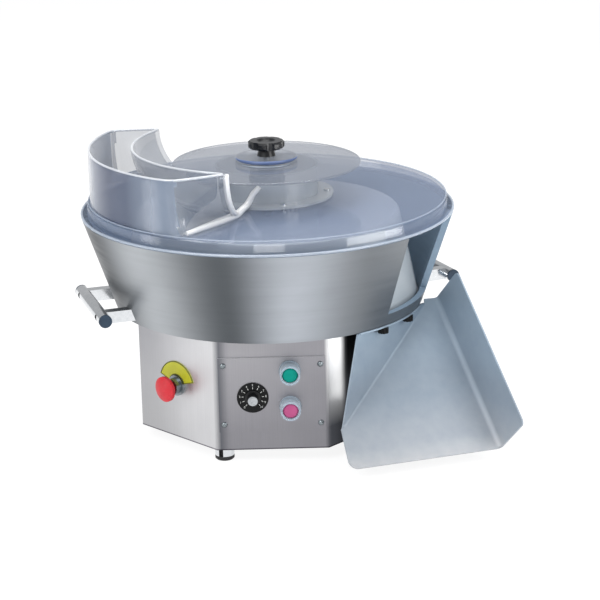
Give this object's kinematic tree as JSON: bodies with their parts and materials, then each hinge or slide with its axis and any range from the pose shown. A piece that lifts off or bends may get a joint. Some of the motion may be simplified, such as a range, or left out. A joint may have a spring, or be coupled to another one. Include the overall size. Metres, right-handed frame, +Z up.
{
  "type": "dough rounder",
  "caption": "Bench-top dough rounder: octagonal steel base, conical bowl with a turning cone, clear lid with side hopper, outlet notch and sheet chute.",
  "frame": {"origin": "on the rotor axis, at the level of the table under the feet", "axes": "+Z up along the rotor axis, the control panel faces -Y, the chute is at +X"},
  "size_m": [0.6738, 0.5779, 0.452],
  "materials": {
    "steel_base": "fine brushed stainless sheet",
    "steel_plate": "plain sheet steel",
    "steel_bowl": "satin stainless, brushed round the bowl",
    "steel_chute": "satin stainless sheet with a cool tint",
    "steel_bright": "polished",
    "zinc_fastener": "zinc plated",
    "shaft_steel": "ground",
    "cast_housing": "plain casting",
    "motor_paint": "semi-gloss paint",
    "cone_metal": "fine matte, non-stick",
    "clear_sheet": "clear, polished edges",
    "black_plastic": "fine grain",
    "grey_plastic": "moulded",
    "cap_plastic": "moulded",
    "black_rubber": "matte",
    "button_sleeve": "translucent boot",
    "green_lens": "moulded lens",
    "red_lens": "moulded lens",
    "estop_red": "moulded",
    "legend_yellow": "printed plate without lettering"
  },
  "bodies": {
    "machine": {"base_housing": "steel_base", "control_panel": "steel_base", "base_plate": "steel_plate", "deck_plate": "steel_plate", "bowl_floor": "steel_plate", "bowl": "steel_bowl", "chute": "steel_chute", "foot_sleeves": "steel_bright", "handle_bars": "steel_bright", "handle_arms": "steel_bright", "estop_collar": "steel_bright", "panel_screws": "steel_bright", "base_plate_screws": "zinc_fastener", "foot_studs": "zinc_fastener", "bowl_bolts": "zinc_fastener", "gearbox_bolts": "zinc_fastener", "bearing_bolts": "zinc_fastener", "estop_locknut": "zinc_fastener", "shaft_bearing": "shaft_steel", "gearbox": "cast_housing", "bearing_housing": "cast_housing", "motor": "motor_paint", "dial_plate": "black_plastic", "handle_screws": "black_plastic", "cable_gland": "black_plastic", "motor_end_cap": "black_plastic", "start_contact_block": "grey_plastic", "stop_contact_block": "grey_plastic", "estop_contact_block": "grey_plastic", "potentiometer": "grey_plastic", "speed_controller": "grey_plastic", "handle_caps": "cap_plastic", "foot_pads": "black_rubber", "shaft_seal": "black_rubber", "start_sleeve": "button_sleeve", "stop_sleeve": "button_sleeve", "estop_legend": "legend_yellow"},
    "rotor": {"main_shaft": "shaft_steel", "cone": "cone_metal", "cone_hub": "cone_metal", "cone_bolts": "zinc_fastener", "cone_cap": "cone_metal"},
    "lid": {"lid_shell": "clear_sheet", "inlet_hopper": "clear_sheet", "turret": "clear_sheet", "turret_screws": "steel_bright", "upper_disc": "clear_sheet", "disc_boss": "clear_sheet", "disc_stud": "steel_bright"},
    "star_knob": {"star_knob": "black_plastic"},
    "estop_plunger": {"estop_plunger": "estop_red"},
    "estop_head": {"estop_head": "estop_red"},
    "start_button": {"start_lens": "green_lens"},
    "stop_button": {"stop_lens": "red_lens"},
    "speed_knob": {"speed_knob": "black_plastic", "speed_knob_cap": "steel_bright", "knob_spindle": "shaft_steel"},
    "front_thumb_screw": {"front_thumb_screw": "black_plastic"},
    "rear_thumb_screw": {"rear_thumb_screw": "black_plastic"}
  },
  "joints": [
    {"name": "rotor_spin", "type": "hinge", "parent": "machine", "child": "rotor", "pos_m": [0, 0, 0.2], "axis": [0, 0, 1], "continuous": true},
    {"name": "lid_lift", "type": "slide", "parent": "machine", "child": "lid", "axis": [0, 0, 1], "range_m": [0, 0.25]},
    {"name": "star_knob_turn", "type": "hinge", "parent": "lid", "child": "star_knob", "pos_m": [0, 0, 0.43], "axis": [0, 0, 1], "continuous": true},
    {"name": "estop_press", "type": "slide", "parent": "machine", "child": "estop_plunger", "axis": [0.7071, 0.7071, 0], "range_m": [0, 0.005]},
    {"name": "estop_release", "type": "hinge", "parent": "estop_plunger", "child": "estop_head", "pos_m": [-0.14354, -0.14354, 0.107], "axis": [0.7071, 0.7071, 0], "range_deg": [0, 45]},
    {"name": "start_press", "type": "slide", "parent": "machine", "child": "start_button", "axis": [0, 1, 0], "range_m": [0, 0.004], "stiffness_N_per_m": 300},
    {"name": "stop_press", "type": "slide", "parent": "machine", "child": "stop_button", "axis": [0, 1, 0], "range_m": [0, 0.004], "stiffness_N_per_m": 300},
    {"name": "speed_turn", "type": "hinge", "parent": "machine", "child": "speed_knob", "pos_m": [-0.029, -0.205, 0.106], "axis": [0, -1, 0], "range_deg": [-140, 140]},
    {"name": "front_thumb_turn", "type": "hinge", "parent": "machine", "child": "front_thumb_screw", "pos_m": [0.16881, -0.16706, 0.197], "axis": [0, 0, 1], "continuous": true},
    {"name": "rear_thumb_turn", "type": "hinge", "parent": "machine", "child": "rear_thumb_screw", "pos_m": [0.2097, -0.1115, 0.197], "axis": [0, 0, 1], "continuous": true}
  ]
}
